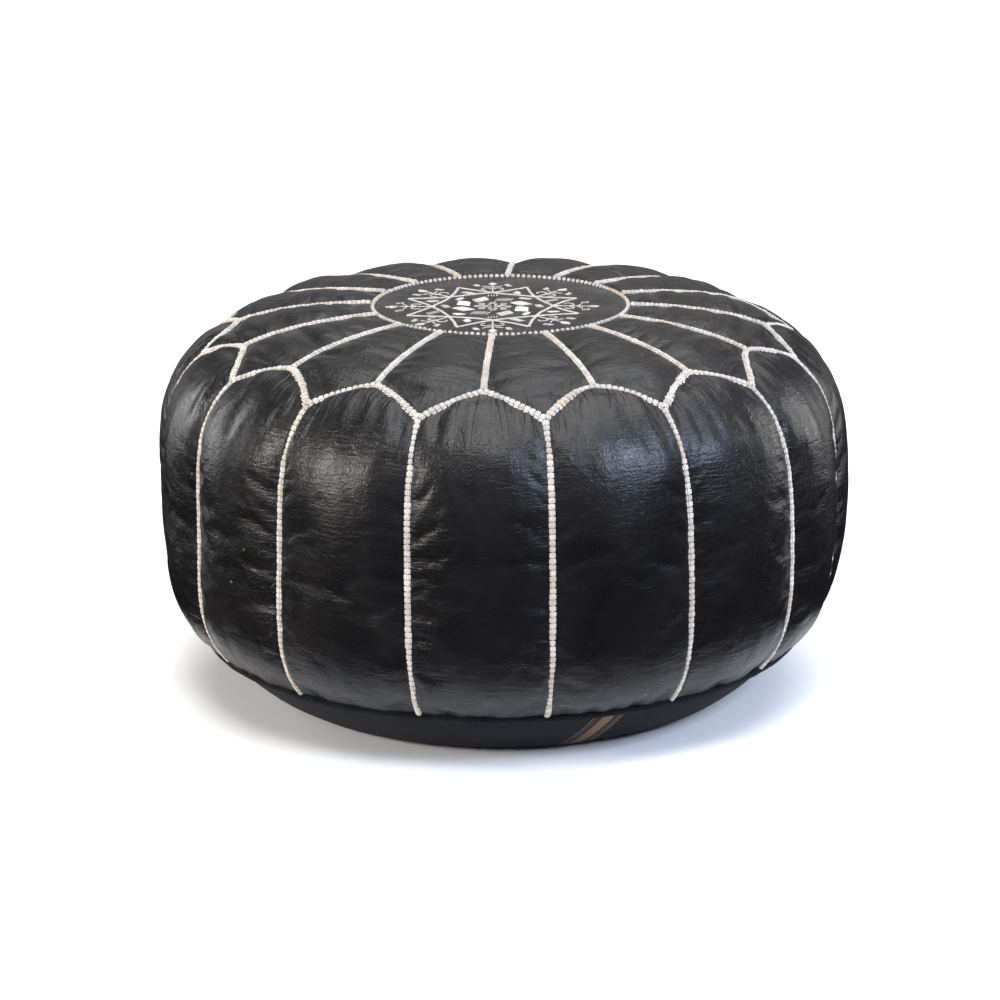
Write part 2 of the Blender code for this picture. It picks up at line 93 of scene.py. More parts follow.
def add_node(tree, kind, values=None, links=None, stops=(), **settings):
    """One more node in a material, with its settings, values, links and, on a ramp, its colour stops."""
    made = tree.nodes.new("ShaderNode" + kind)
    for name, value in settings.items():
        setattr(made, name, value)
    for socket, value in (values or {}).items():
        made.inputs[socket].default_value = value
    for socket, source in (links or {}).items():
        tree.links.new(source, made.inputs[socket])
    for place, (position, colour) in enumerate(stops):
        elements = made.color_ramp.elements
        stop = elements[place] if place < 2 else elements.new(position)
        stop.position = position
        stop.color = srgb(colour)
    return made


def new_material(name, constants):
    """A material with these constants on its shader: the material, its node tree and the shader."""
    made = bpy.data.materials.new(name)
    made.use_nodes = True
    shader = made.node_tree.nodes["Principled BSDF"]
    for socket, value in constants.items():
        shader.inputs[socket].default_value = value
    return made, made.node_tree, shader


def dress(piece, material):
    """Gives a piece its one material."""
    piece.data.materials.clear()
    piece.data.materials.append(material)


# Matt painted studio floor: white, with no gloss to mirror the pouf.
paint = {"Base Color": srgb("#fdfdfd"), "Roughness": 0.95, "Specular IOR Level": 0.1}
studio_paint, tree, shader = new_material("matt studio paint", paint)

FLOOR_SIZE = 18.0
FLOOR_CLEARANCE = 0.0004

bpy.ops.object.select_all(action="DESELECT")
bpy.ops.mesh.primitive_plane_add(size=FLOOR_SIZE, location=(0, 0, -FLOOR_CLEARANCE))
floor = bpy.context.object
floor.name = "floor"
dress(floor, studio_paint)

# A black studio cloth lies on the floor round the pouf, and only the leather's gloss mirrors it, so the sides
# stay dark. The view, the shadows and the soft light look past it to the white floor.
CLOTH_INNER_RADIUS = 0.31
CLOTH_OUTER_RADIUS = 3.2
CLOTH_ABOVE_FLOOR = 0.002

unlit = {"Base Color": srgb("#141414"), "Roughness": 1.0, "Specular IOR Level": 0.0}
black_cloth, tree, shader = new_material("black studio cloth", unlit)
bpy.ops.object.select_all(action="DESELECT")
bpy.ops.mesh.primitive_circle_add(
    vertices=64, radius=CLOTH_OUTER_RADIUS, fill_type="NGON", location=(0, 0, CLOTH_ABOVE_FLOOR)
)
dark_room = bpy.context.object
dark_room.name = "dark_room"
bpy.ops.object.mode_set(mode="EDIT")
bpy.ops.mesh.select_all(action="SELECT")
bpy.ops.mesh.inset(thickness=CLOTH_OUTER_RADIUS - CLOTH_INNER_RADIUS)
bpy.ops.mesh.delete(type="FACE")
bpy.ops.object.mode_set(mode="OBJECT")
dress(dark_room, black_cloth)
dark_room.visible_camera = False
dark_room.visible_diffuse = False
dark_room.visible_shadow = False

# a white backdrop all round, dimmer in what it sheds on the pouf than it looks, as a backdrop far behind is
BACKDROP_SHEDS = 0.10
BACKDROP_SHOWS = 1.0

studio = bpy.data.worlds.new("studio")
studio.use_nodes = True
tree = studio.node_tree
seen = add_node(tree, "LightPath").outputs["Is Camera Ray"]
strength = add_node(tree, "MapRange", {"To Min": BACKDROP_SHEDS, "To Max": BACKDROP_SHOWS}, {"Value": seen})
tree.nodes["Background"].inputs["Color"].default_value = srgb("#ffffff")
tree.links.new(strength.outputs["Result"], tree.nodes["Background"].inputs["Strength"])
bpy.context.scene.world = studio
bpy.context.scene.view_settings.view_transform = "Standard"

OVERHEAD_TILT = (math.radians(-12), math.radians(6), 0)
OVERHEAD_STRENGTH = 2.9
OVERHEAD_SPREAD = math.radians(60)

bpy.ops.object.light_add(type="SUN", rotation=OVERHEAD_TILT)
overhead = bpy.context.object
overhead.name = "broad overhead light"
overhead.data.energy = OVERHEAD_STRENGTH
overhead.data.angle = OVERHEAD_SPREAD

# place, size and watts of each soft box, with its colour
SOFT_BOXES = {
    "front left": ((-1.95, -1.15, 0.95), (0.6, 0.65), 40, "#fffaf4"),
    "front right": ((1.7, -1.4, 1.62), (1.2, 0.8), 62, "#d4e2ff"),
    "front above": ((-0.1, -1.3, 2.2), (0.9, 0.6), 22, "#ffffff"),
    "left": ((-2.3, 1.2, 0.7), (0.6, 1.4), 22, "#ffffff"),
    "right": ((2.3, 1.1, 0.7), (0.6, 1.4), 18, "#ffffff"),
    "behind": ((0.0, 2.7, 1.1), (2.6, 0.9), 4.0, "#fffdfd"),
}
for name, (place, size, power, colour) in SOFT_BOXES.items():
    bpy.ops.object.light_add(type="AREA", location=place)
    lamp = bpy.context.object
    lamp.name = "soft box " + name
    lamp.data.shape = "RECTANGLE"
    lamp.data.size = size[0]
    lamp.data.size_y = size[1]
    lamp.data.energy = power
    lamp.data.color = srgb(colour)[:3]
    lamp.rotation_euler = (AIM - Vector(place)).to_track_quat("-Z", "Y").to_euler()


# ---------------------------------------------------------------- petals and side panels
# Glazed goat leather, 1.4 mm, cut in sixteen petals and sixteen side panels. Each is sewn to its
# neighbours a little full, so that once the pouf is stuffed the leather puffs out and puckers at the seams.

PANEL_COUNT = 16
PITCH = 2 * math.pi / PANEL_COUNT
FIRST_SEAM = math.radians(-93.5)
SEAM_RADIUS = 0.264
COVER_HEIGHT = 0.300
CROWN_POWER = 4.0
BELLY_POWER = 3.4
MEDALLION_RADIUS = 0.100
PEAK_RADIUS = 0.207
VALLEY_RADIUS = 0.2325
# how full each scallop is cut, the first at the front and the rest in turn to its right: by hand, so uneven
ARCH_POWERS = np.array(
    (1.28, 1.85, 1.35, 1.6, 1.4, 1.7, 1.3, 1.5, 1.8, 1.4, 1.6, 1.3, 1.7, 1.45, 1.55, 1.35)
)
BASE_SEAM_HEIGHT = 0.044
PETAL_PUFF = 0.0045
SIDE_PUFF = 0.0050
LEATHER_THICKNESS = 0.0014

PANEL_COLUMNS = 32
PETAL_ROWS = 36
SIDE_ROWS = 72
COVER_ROWS = PETAL_ROWS + SIDE_ROWS

# the cover's upright section, from the middle of the top out and down to the middle of the base
SECTION_STEPS = 8001
turn = np.linspace(math.pi / 2, -math.pi / 2, SECTION_STEPS)
power = np.where(turn > 0, CROWN_POWER, BELLY_POWER)
section_r = SEAM_RADIUS * np.abs(np.cos(turn)) ** (2 / power)
section_z = COVER_HEIGHT / 2 * (1 + np.sign(turn) * np.abs(np.sin(turn)) ** (2 / power))
section_run = np.concatenate([[0], np.cumsum(np.hypot(np.diff(section_r), np.diff(section_z)))])
slope_r = np.gradient(section_r, section_run)
slope_z = np.gradient(section_z, section_run)

crown = turn > 0
RING_RUN = float(np.interp(MEDALLION_RADIUS, section_r[crown], section_run[crown]))
PEAK_RUN = float(np.interp(PEAK_RADIUS, section_r[crown], section_run[crown]))
VALLEY_RUN = float(np.interp(VALLEY_RADIUS, section_r[crown], section_run[crown]))
BASE_RUN = float(np.interp(-BASE_SEAM_HEIGHT, -section_z[~crown], section_run[~crown]))


# it is packed and sewn by hand: the belly swells a few millimetres more on one side, and the side seams
# are drawn apart to the left and right of the front
SWELL = 0.0034
SEAM_DRIFT = math.radians(14)
MOST_LEVEL = math.radians(-90)


def on_cover(run, azimuth, out=0.0):
    """Points of the cover: run along its section from the top's middle, out from the level of its seams."""
    share = np.clip((run - VALLEY_RUN) / (BASE_RUN - VALLEY_RUN), 0, 1)
    facing = azimuth - MOST_LEVEL
    drift = np.sin(facing) ** 3 * np.cos(facing) ** 2 * np.sin(share * math.pi / 2)
    azimuth = azimuth + SEAM_DRIFT * drift
    bell = np.sin(math.pi * share) ** 2
    swell = 0.7 * np.sin(facing) + 0.35 * np.sin(3 * facing + 1.0) + 0.3 * np.sin(5 * facing + 2.5)
    out = out + SWELL * swell * bell
    normal_r = -np.interp(run, section_run, slope_z)
    normal_z = np.interp(run, section_run, slope_r)
    r = np.interp(run, section_run, section_r) + out * normal_r
    z = np.interp(run, section_run, section_z) + out * normal_z
    return np.stack([r * np.cos(azimuth), r * np.sin(azimuth), z + 0 * azimuth], axis=-1)


def arch_run(offset, panel):
    """How far down the section the scalloped seam lies, from offset 0 at its peak to 1 in its valley."""
    return PEAK_RUN + (VALLEY_RUN - PEAK_RUN) * np.abs(offset) ** ARCH_POWERS[panel]


def soft_noise(points, scale, seed):
    """Smooth noise at each point, from about -1 to 1. The scale is per metre, one for each axis."""
    shift = Vector((seed * 17.3, seed * 5.1, seed * 9.7))
    return np.array([noise.noise(Vector(p) + shift) for p in points * np.array(scale)])


def corners(mesh):
    """The vertices of a mesh as rows of three."""
    values = np.empty(len(mesh.vertices) * 3)
    mesh.vertices.foreach_get("co", values)
    return values.reshape(-1, 3)


def pick(piece):
    """Leaves only this piece selected, and active."""
    bpy.ops.object.select_all(action="DESELECT")
    piece.select_set(True)
    bpy.context.view_layer.objects.active = piece


def new_grid(name, columns, rows):
    """A flat grid, from -1 to 1 both ways, to be shaped into a sheet: the object and its points."""
    bpy.ops.object.select_all(action="DESELECT")
    bpy.ops.mesh.primitive_grid_add(x_subdivisions=columns, y_subdivisions=rows, size=2)
    made = bpy.context.object
    made.name = name
    return made, corners(made.data)


def shape(piece, points):
    """Moves the points of a piece to where they belong."""
    piece.data.vertices.foreach_set("co", points.ravel())
    piece.data.update()


def close_joins(threshold, outward=False):
    """Merges the points that meet where the active grid closes on itself or comes to one point."""
    bpy.ops.object.mode_set(mode="EDIT")
    bpy.ops.mesh.select_all(action="SELECT")
    bpy.ops.mesh.remove_doubles(threshold=threshold)
    if outward:
        bpy.ops.mesh.normals_make_consistent(inside=False)
    bpy.ops.object.mode_set(mode="OBJECT")


def thicken(piece, thickness):
    """Gives the active sheet its thickness, inwards from the face that shows."""
    wall = piece.modifiers.new("thickness", "SOLIDIFY")
    wall.thickness = thickness
    wall.offset = -1.0
    bpy.ops.object.modifier_apply(modifier=wall.name)


cover, flat = new_grid("leather_cover", PANEL_COUNT * PANEL_COLUMNS, COVER_ROWS)
column = np.rint((flat[:, 0] + 1) / 2 * PANEL_COUNT * PANEL_COLUMNS).astype(int)
row = np.rint((1 - flat[:, 1]) / 2 * COVER_ROWS).astype(int)
around = column / PANEL_COLUMNS
azimuth = FIRST_SEAM + around * PITCH
in_petal = row <= PETAL_ROWS
panel = np.floor(around + 0.5).astype(int) % PANEL_COUNT
arch = arch_run(2 * np.abs((around + 0.5) % 1 - 0.5), panel)
down = np.where(in_petal, row / PETAL_ROWS, (row - PETAL_ROWS) / SIDE_ROWS)
run = np.where(in_petal, RING_RUN + (arch - RING_RUN) * down, arch + (BASE_RUN - arch) * down)
in_panel = np.where(in_petal, around % 1, (around + 0.5) % 1)
puff = np.where(in_petal, PETAL_PUFF, SIDE_PUFF)
puff = puff * np.abs(np.sin(math.pi * in_panel)) ** 0.5 * np.abs(np.sin(math.pi * down)) ** 0.4

# nearness to the seams in millimetres, which says where the leather is gathered
radius_here = np.interp(run, section_run, section_r)
aside = np.minimum(in_panel, 1 - in_panel) * PITCH * radius_here * 1000
above = np.where(in_petal, run - RING_RUN, run - arch) * 1000
below = np.where(in_petal, arch - run, BASE_RUN - run) * 1000
to_seam = np.minimum(aside, np.minimum(above, below))

# shallow folds that the leather keeps from its flat skin: across the petals, and down the side panels.
# They die out this many millimetres from a seam.
PETAL_FOLD_FADE = 15
SIDE_FOLD_FADE = 8

place = np.stack([np.cos(azimuth) * 0.25, np.sin(azimuth) * 0.25, run], axis=-1)
folds = soft_noise(place, (13, 13, 75), 1) * 0.9 + soft_noise(place, (30, 30, 130), 2) * 0.45
creases = soft_noise(place, (85, 85, 16), 3) * 0.8 + soft_noise(place, (45, 45, 30), 4) * 0.6
gathers = soft_noise(place, (112, 112, 11), 6) * np.exp(-((above - 14) / 26) ** 2)
lift = np.where(in_petal, folds * 0.0024, creases * 0.0012 + gathers * 0.0022)
lift = lift * np.clip(to_seam / np.where(in_petal, PETAL_FOLD_FADE, SIDE_FOLD_FADE), 0, 1)
shape(cover, on_cover(run, azimuth, puff + lift))

ends = np.where(in_petal, below, np.minimum(above, below * 2.0))
marks = {
    "to_seam": to_seam,
    "around": around,
    "run": run,
    "in_petal": in_petal,
    "near_ends": np.exp(-ends / 26),
    "near_arch": np.where(in_petal, 0.0, np.exp(-above / 17)),
    "slack": np.where(in_petal | (aside > np.minimum(above, below)), 1.0, 0.5),
    "near_sides": np.where(in_petal, 0.8, 0.35 + 0.5 * np.exp(-aside / 14)),
}
for name, values in marks.items():
    cover.data.attributes.new(name, "FLOAT", "POINT").data.foreach_set("value", values.astype(np.float32))

close_joins(0.00001)


def read(mesh, name):
    """One number for each vertex of a mesh, by its attribute's name."""
    values = np.empty(len(mesh.vertices), np.float32)
    mesh.attributes[name].data.foreach_get("value", values)
    return values


AT_SEAM = 0.05  # millimetres

at_seam = read(cover.data, "to_seam") < AT_SEAM
pinned = cover.vertex_groups.new(name="sewn")
pinned.add(np.flatnonzero(at_seam).tolist(), 1.0, "REPLACE")

# fullness sewn into each seam, uneven because the work is done by hand
sewn_points = corners(cover.data)
ease = np.exp(-read(cover.data, "to_seam") / 16) * read(cover.data, "slack")
uneven = 0.65 + 0.6 * soft_noise(sewn_points, (22, 22, 22), 5)
fullness = np.clip(ease * uneven, 0, 1)
eased = cover.vertex_groups.new(name="eased")
for i, weight in enumerate(fullness.tolist()):
    eased.add((i,), weight, "REPLACE")

SIMULATED_FRAMES = 24
MOST_MOVE = 0.0075

sewing = cover.modifiers.new("Cloth", "CLOTH")
leather = sewing.settings
leather.quality = 5
leather.mass = 0.2
leather.tension_stiffness = 20
leather.compression_stiffness = 20
leather.shear_stiffness = 12
leather.bending_stiffness = 0.06
leather.air_damping = 2
leather.vertex_group_mass = "sewn"
leather.vertex_group_shrink = "eased"
leather.shrink_min = -0.018
leather.shrink_max = -0.26
leather.use_pressure = True
leather.uniform_pressure_force = 6.0
leather.effector_weights.gravity = 0.0
sewing.point_cache.frame_start = 1
sewing.point_cache.frame_end = SIMULATED_FRAMES
for step in range(1, SIMULATED_FRAMES + 1):
    bpy.context.scene.frame_set(step)
bpy.context.view_layer.objects.active = cover
bpy.ops.object.modifier_apply(modifier=sewing.name)
bpy.context.scene.frame_set(1)
moved = corners(cover.data) - sewn_points
far = np.linalg.norm(moved, axis=1, keepdims=True)
moved *= np.minimum(1, MOST_MOVE / np.maximum(far, 1e-9))
shape(cover, sewn_points + moved)

# Glazed goat leather: dyed through, polished with a glass roller, so near black with a broad soft gloss that
# is duller in places, and a fine pebbled grain about 2 mm across.
goat_leather, tree, shader = new_material("glazed goat leather", {"IOR": 1.5, "Specular IOR Level": 0.38})
place = add_node(tree, "TexCoord").outputs["Object"]
cloud = add_node(tree, "TexNoise", {"Scale": 14.0, "Detail": 3.0, "Roughness": 0.6}, {"Vector": place})
dye = add_node(
    tree, "ValToRGB", links={"Fac": cloud.outputs["Fac"]}, stops=((0.32, "#0b0a0c"), (0.72, "#161415"))
)
# ragged flecks of the undyed brown skin show where the dye has been knocked off
ragged = add_node(tree, "TexNoise", {"Scale": 900.0, "Detail": 2.0}, {"Vector": place})
shaken = add_node(
    tree, "Mix", {"Factor": 0.0022}, {"A": place, "B": ragged.outputs["Color"]}, data_type="VECTOR"
)
chip = add_node(tree, "TexVoronoi", {"Scale": 95.0, "Randomness": 1.0}, {"Vector": shaken.outputs["Result"]})
small = add_node(tree, "Math", {1: 0.085}, {0: chip.outputs["Distance"]}, operation="LESS_THAN")
split = add_node(tree, "SeparateColor", links={"Color": chip.outputs["Color"]})
rare = add_node(tree, "Math", {1: 0.985}, {0: split.outputs["Red"]}, operation="GREATER_THAN")
chipped = add_node(
    tree, "Math", links={0: small.outputs["Value"], 1: rare.outputs["Value"]}, operation="MULTIPLY"
)
over_dye = {"Factor": chipped.outputs["Value"], "A": dye.outputs["Color"]}
skin = add_node(tree, "Mix", {"B": srgb("#7c5a44")}, over_dye, data_type="RGBA")
# a few fine scratches, a centimetre or so long, slant across the sides where it has been dragged
along_skin = add_node(tree, "Attribute", attribute_name="along_skin").outputs["Vector"]
slant = {"Rotation": (0, 0, math.radians(-52)), "Scale": (0.011, 0.0006, 1.0)}
slanted = add_node(tree, "Mapping", slant, {"Vector": along_skin}, vector_type="TEXTURE").outputs["Vector"]
streak = add_node(tree, "TexNoise", {"Scale": 1.0, "Detail": 1.0, "Distortion": 0.4}, {"Vector": slanted})
fine = add_node(tree, "MapRange", {"From Min": 0.72, "From Max": 0.77}, {"Value": streak.outputs["Fac"]})
patch = add_node(tree, "TexNoise", {"Scale": 9.0, "Detail": 1.0}, {"Vector": place})
worn_patch = add_node(tree, "MapRange", {"From Min": 0.60, "From Max": 0.70}, {"Value": patch.outputs["Fac"]})
scratch = add_node(
    tree, "Math", links={0: fine.outputs["Result"], 1: worn_patch.outputs["Result"]}, operation="MULTIPLY"
)
over_skin = {"Factor": scratch.outputs["Value"], "A": skin.outputs["Result"]}
scratched = add_node(tree, "Mix", {"B": srgb("#56504b")}, over_skin, data_type="RGBA")
tree.links.new(scratched.outputs["Result"], shader.inputs["Base Color"])
polish = add_node(tree, "TexNoise", {"Scale": 38.0, "Detail": 5.0, "Roughness": 0.65}, {"Vector": place})
gloss_range = {"From Min": 0.3, "From Max": 0.7, "To Min": 0.24, "To Max": 0.42}
gloss = add_node(tree, "MapRange", gloss_range, {"Value": polish.outputs["Fac"]})
tree.links.new(gloss.outputs["Result"], shader.inputs["Roughness"])
# fine creases run into the seams: down from the scallops, in from the side seams and across the petals
near_ends = add_node(tree, "Attribute", attribute_name="near_ends").outputs["Fac"]
near_sides = add_node(tree, "Attribute", attribute_name="near_sides").outputs["Fac"]
crease_layers = []
for stretch, amount in (((330.0, 40.0, 1.0), near_ends), ((60.0, 380.0, 1.0), near_sides)):
    drawn_out = add_node(tree, "Mapping", {"Scale": stretch}, {"Vector": along_skin}).outputs["Vector"]
    fine_lines = {"Scale": 1.0, "Detail": 4.0, "Roughness": 0.55, "Distortion": 0.8}
    lines = add_node(tree, "TexNoise", fine_lines, {"Vector": drawn_out}).outputs["Fac"]
    layer = add_node(tree, "Math", links={0: lines, 1: amount}, operation="MULTIPLY")
    crease_layers.append(layer.outputs["Value"])
creases = add_node(tree, "Math", links=dict(enumerate(crease_layers)), operation="ADD")
rumpled = {"Scale": 170.0, "Detail": 5.0, "Roughness": 0.62, "Distortion": 1.0}
crumple = add_node(tree, "TexNoise", rumpled, {"Vector": place})
pebble = add_node(tree, "TexVoronoi", {"Scale": 560.0, "Randomness": 0.9}, {"Vector": place}, feature="F1")
grain = add_node(tree, "Bump", {"Strength": 0.24, "Distance": 0.0005}, {"Height": pebble.outputs["Distance"]})
on_grain = {"Height": crumple.outputs["Fac"], "Normal": grain.outputs["Normal"]}
worn = add_node(tree, "Bump", {"Strength": 0.28, "Distance": 0.0016}, on_grain)
on_worn = {"Height": creases.outputs["Value"], "Normal": worn.outputs["Normal"]}
creased = add_node(tree, "Bump", {"Strength": 0.38, "Distance": 0.0026}, on_worn)
# sharp tucks, a centimetre or two apart, fan down from each scallop, where the arch is eased into the petals
near_arch = add_node(tree, "Attribute", attribute_name="near_arch").outputs["Fac"]
fanned = add_node(tree, "Mapping", {"Scale": (58.0, 11.0, 1.0)}, {"Vector": along_skin}).outputs["Vector"]
swirl = add_node(tree, "TexNoise", {"Scale": 1.0, "Detail": 1.0, "Distortion": 0.5}, {"Vector": fanned})
from_fold = add_node(tree, "Math", {1: 0.5}, {0: swirl.outputs["Fac"]}, operation="SUBTRACT")
fold_depth = add_node(tree, "Math", links={0: from_fold.outputs["Value"]}, operation="ABSOLUTE")
at_fold = {"Value": fold_depth.outputs["Value"]}
fold_floor = add_node(tree, "MapRange", {"From Max": 0.05}, at_fold, interpolation_type="SMOOTHSTEP")
tuck = add_node(tree, "Math", links={0: fold_floor.outputs["Result"], 1: near_arch}, operation="MULTIPLY")
on_creased = {"Height": tuck.outputs["Value"], "Normal": creased.outputs["Normal"]}
tucked = add_node(tree, "Bump", {"Strength": 0.45, "Distance": 0.0020}, on_creased)
tree.links.new(tucked.outputs["Normal"], shader.inputs["Normal"])

# cut the cover apart along its seams
pick(cover)
bpy.ops.object.mode_set(mode="EDIT")
bpy.ops.mesh.select_mode(type="EDGE")
bpy.ops.mesh.select_all(action="DESELECT")
bpy.ops.object.mode_set(mode="OBJECT")
sewn_here = read(cover.data, "to_seam") < AT_SEAM
for edge in cover.data.edges:
    edge.select = bool(sewn_here[edge.vertices[0]] and sewn_here[edge.vertices[1]])
bpy.ops.object.mode_set(mode="EDIT")
bpy.ops.mesh.edge_split(type="EDGE")
bpy.ops.mesh.separate(type="LOOSE")
bpy.ops.object.mode_set(mode="OBJECT")
panels = list(bpy.context.selected_objects)


def finish_skin(piece):
    """Gives a leather piece its thickness and smooth look."""
    pick(piece)
    piece.vertex_groups.clear()
    smooth = piece.modifiers.new("round", "SUBSURF")
    smooth.levels = 1
    bpy.ops.object.modifier_apply(modifier=smooth.name)
    thicken(piece, LEATHER_THICKNESS)
    bpy.ops.object.shade_smooth()


for piece in panels:
    middle = float(np.mean(read(piece.data, "around")))
    petal = float(np.mean(read(piece.data, "in_petal"))) > 0.5
    number = math.floor(middle) + 1 if petal else math.floor(middle + 0.5) % PANEL_COUNT + 1
    # the first side panel lies across the join of the grid, so its columns are from both ends of it
    if not petal and np.ptp(read(piece.data, "around")) > 2:
        number = 1
    solid = f"petal_{number:02d}" if petal else f"side_panel_{number:02d}"
    piece.name = "leather_" + solid
    # metres across the skin from its middle, metres down it, and a number of its own for each skin
    from_middle = read(piece.data, "around") - (number - 0.5 if petal else number - 1)
    from_middle = (from_middle + PANEL_COUNT / 2) % PANEL_COUNT - PANEL_COUNT / 2
    skin_number = 0 * from_middle + number + 0.5 * petal
    across_skin = from_middle * PITCH * SEAM_RADIUS
    skin_place = np.stack([across_skin, read(piece.data, "run"), skin_number], axis=-1)
    marked = piece.data.attributes.new("along_skin", "FLOAT_VECTOR", "POINT")
    marked.data.foreach_set("vector", skin_place.astype(np.float32).ravel())
    finish_skin(piece)
    dress(piece, goat_leather)
    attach(piece, "cover")
    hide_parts(solid)


# ---------------------------------------------------------------- medallion
# One round of the same goat leather, laid over the inner ends of the petals and held by a braided ring.
# It is the only part that is worked before sewing, so it stays flat, with a few shallow ripples.

MEDALLION_EDGE = 0.0988
MEDALLION_AROUND = 192
MEDALLION_STEPS = 40
MEDALLION_RIPPLE = 0.0009


def on_medallion(x, y, out=0.0):
    """Points on the medallion's leather, x to the right and y away from the front."""
    x, y = np.broadcast_arrays(np.asarray(x, float), np.asarray(y, float))
    r = np.hypot(x, y)
    z = np.interp(r, section_r[crown], section_z[crown])
    flat_points = np.stack([x.ravel(), y.ravel(), 0 * x.ravel()], axis=-1)
    ripple = soft_noise(flat_points, (16, 26, 1), 7) + 0.5 * soft_noise(flat_points, (40, 60, 1), 8)
    z = z + MEDALLION_RIPPLE * ripple.reshape(x.shape) * np.clip((MEDALLION_EDGE - r) / 0.012, 0, 1)
    return np.stack([x, y, z + out], axis=-1)


medallion, flat = new_grid("leather_medallion", MEDALLION_AROUND, MEDALLION_STEPS)
angle = (flat[:, 0] + 1) * math.pi
reach = MEDALLION_EDGE * (1 - flat[:, 1]) / 2
shape(medallion, on_medallion(reach * np.cos(angle), reach * np.sin(angle)))
close_joins(0.00002)
thicken(medallion, LEATHER_THICKNESS)
bpy.ops.object.shade_smooth()
dress(medallion, goat_leather)
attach(medallion, "cover")
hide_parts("medallion")


# ---------------------------------------------------------------- braided seams
# Every seam is closed and covered at once with waxed cotton: four strands are laid along it and tied down
# every few millimetres, so that they bulge into beads. It is the same work round the medallion, between the
# petals, along the scallops and down the side seams.

BEAD_PITCH = 0.0044
STRAND_WIDTH = 0.0019
BRAID_LEVEL = 0.0001

# Waxed cotton thread, plied and matt: off-white, soft edged, darker between the turns, a bead here and there
# stained tan by the wax.
cotton_thread, tree, shader = new_material("waxed cotton thread", {"Roughness": 0.75, "Sheen Weight": 0.25})
place = add_node(tree, "TexCoord").outputs["Object"]
tone = add_node(tree, "Attribute", attribute_name="tone").outputs["Fac"]
shades = ((0.0, "#aca49a"), (0.35, "#b5afa6"), (0.9, "#c5bfb8"), (0.985, "#c2b8ac"), (1.0, "#b39c84"))
wax = add_node(tree, "ValToRGB", links={"Fac": tone}, stops=shades)
# dirt gathers in a few places along the seams, a few centimetres long
grime = add_node(tree, "TexNoise", {"Scale": 28.0, "Detail": 3.0}, {"Vector": place}).outputs["Fac"]
soil = add_node(tree, "MapRange", {"From Min": 0.5, "From Max": 0.75, "To Max": 0.45}, {"Value": grime})
over_wax = {"Factor": soil.outputs["Result"], "A": wax.outputs["Color"]}
thread_colour = add_node(tree, "Mix", {"B": srgb("#a8927c")}, over_wax, data_type="RGBA")
tree.links.new(thread_colour.outputs["Result"], shader.inputs["Base Color"])
fibre = add_node(tree, "TexNoise", {"Scale": 1500.0, "Detail": 2.0}, {"Vector": place}).outputs["Fac"]
ply = add_node(tree, "Bump", {"Strength": 0.5, "Distance": 0.0003}, {"Height": fibre})
tree.links.new(ply.outputs["Normal"], shader.inputs["Normal"])

chance = np.random.default_rng(41)


def set_tone(mesh, value):
    """Marks a small mesh with its shade, from 0 to 1."""
    shade = mesh.attributes.get("tone") or mesh.attributes.new("tone", "FLOAT", "POINT")
    shade.data.foreach_set("value", np.full(len(mesh.vertices), value, np.float32))


def lay_copies(name, model, places):
    """Copies a small model to each place, each copy with its own shade, and joins them as one piece."""
    bpy.ops.object.select_all(action="DESELECT")
    for spot in places:
        spot, shade = spot if isinstance(spot, tuple) else (spot, float(chance.random()))
        copy = bpy.data.objects.new(name, model.data.copy())
        copy.data.transform(spot)
        set_tone(copy.data, shade)
        bpy.context.collection.objects.link(copy)
        copy.select_set(True)
    bpy.context.view_layer.objects.active = copy
    bpy.ops.object.join()
    piece = bpy.context.object
    piece.name = name
    bpy.ops.object.shade_smooth()
    return piece


def seam_steps(run, azimuth, pitch, out, sway=0.0):
    """Even steps along a line on the cover, each with X along it, Y across it and Z out of the leather."""
    run, azimuth = np.broadcast_arrays(np.asarray(run, float), np.asarray(azimuth, float))
    line = on_cover(run, azimuth, out)
    outward = on_cover(run, azimuth, out + 0.001) - line
    length = np.concatenate([[0], np.cumsum(np.linalg.norm(np.diff(line, axis=0), axis=1))])
    count = max(1, round(length[-1] / pitch))
    steps = []
    for at in (np.arange(count) + 0.5) * length[-1] / count:
        here, ahead, behind, up = (
            Vector([np.interp(at + shift, length, values[:, k]) for k in range(3)])
            for shift, values in ((0, line), (pitch / 4, line), (-pitch / 4, line), (0, outward))
        )
        up.normalize()
        along = (ahead - behind).normalized()
        across = up.cross(along).normalized()
        here += across * float(chance.normal(0, 1)) * sway
        size = 1 + 0.05 * float(chance.normal(0, 1))
        turned = Matrix((along, across * size, along.cross(across) * size)).transposed()
        steps.append(Matrix.Translation(here) @ turned.to_4x4())
    return steps


def thread_stitch(name, sides):
    """One stitch of thread, a metre long in X and a metre thick, tapered where it dips into the leather."""
    bpy.ops.object.select_all(action="DESELECT")
    bpy.ops.mesh.primitive_cylinder_add(vertices=sides, radius=0.5, depth=0.62, rotation=(0, math.pi / 2, 0))
    stitch = bpy.context.object
    stitch.name = name
    bpy.ops.object.transform_apply(location=False, rotation=True, scale=False)
    for end in (-1, 1):
        bpy.ops.object.mode_set(mode="EDIT")
        bpy.ops.mesh.select_mode(type="FACE")
        bpy.ops.mesh.select_all(action="DESELECT")
        bpy.ops.object.mode_set(mode="OBJECT")
        for face in stitch.data.polygons:
            face.select = face.normal.x * end > 0.9
        bpy.ops.object.mode_set(mode="EDIT")
        bpy.ops.mesh.extrude_region_move(TRANSFORM_OT_translate={"value": (end * 0.19, 0, -0.22)})
        bpy.ops.transform.resize(value=(1, 0.45, 0.35))
        bpy.ops.object.mode_set(mode="OBJECT")
    bpy.context.collection.objects.unlink(stitch)
    return stitch


STRANDS = ((-0.0023, 0.0002), (-0.0008, 0.0010), (0.0008, 0.0010), (0.0023, 0.0002))
BEAD_WAIST = 0.46


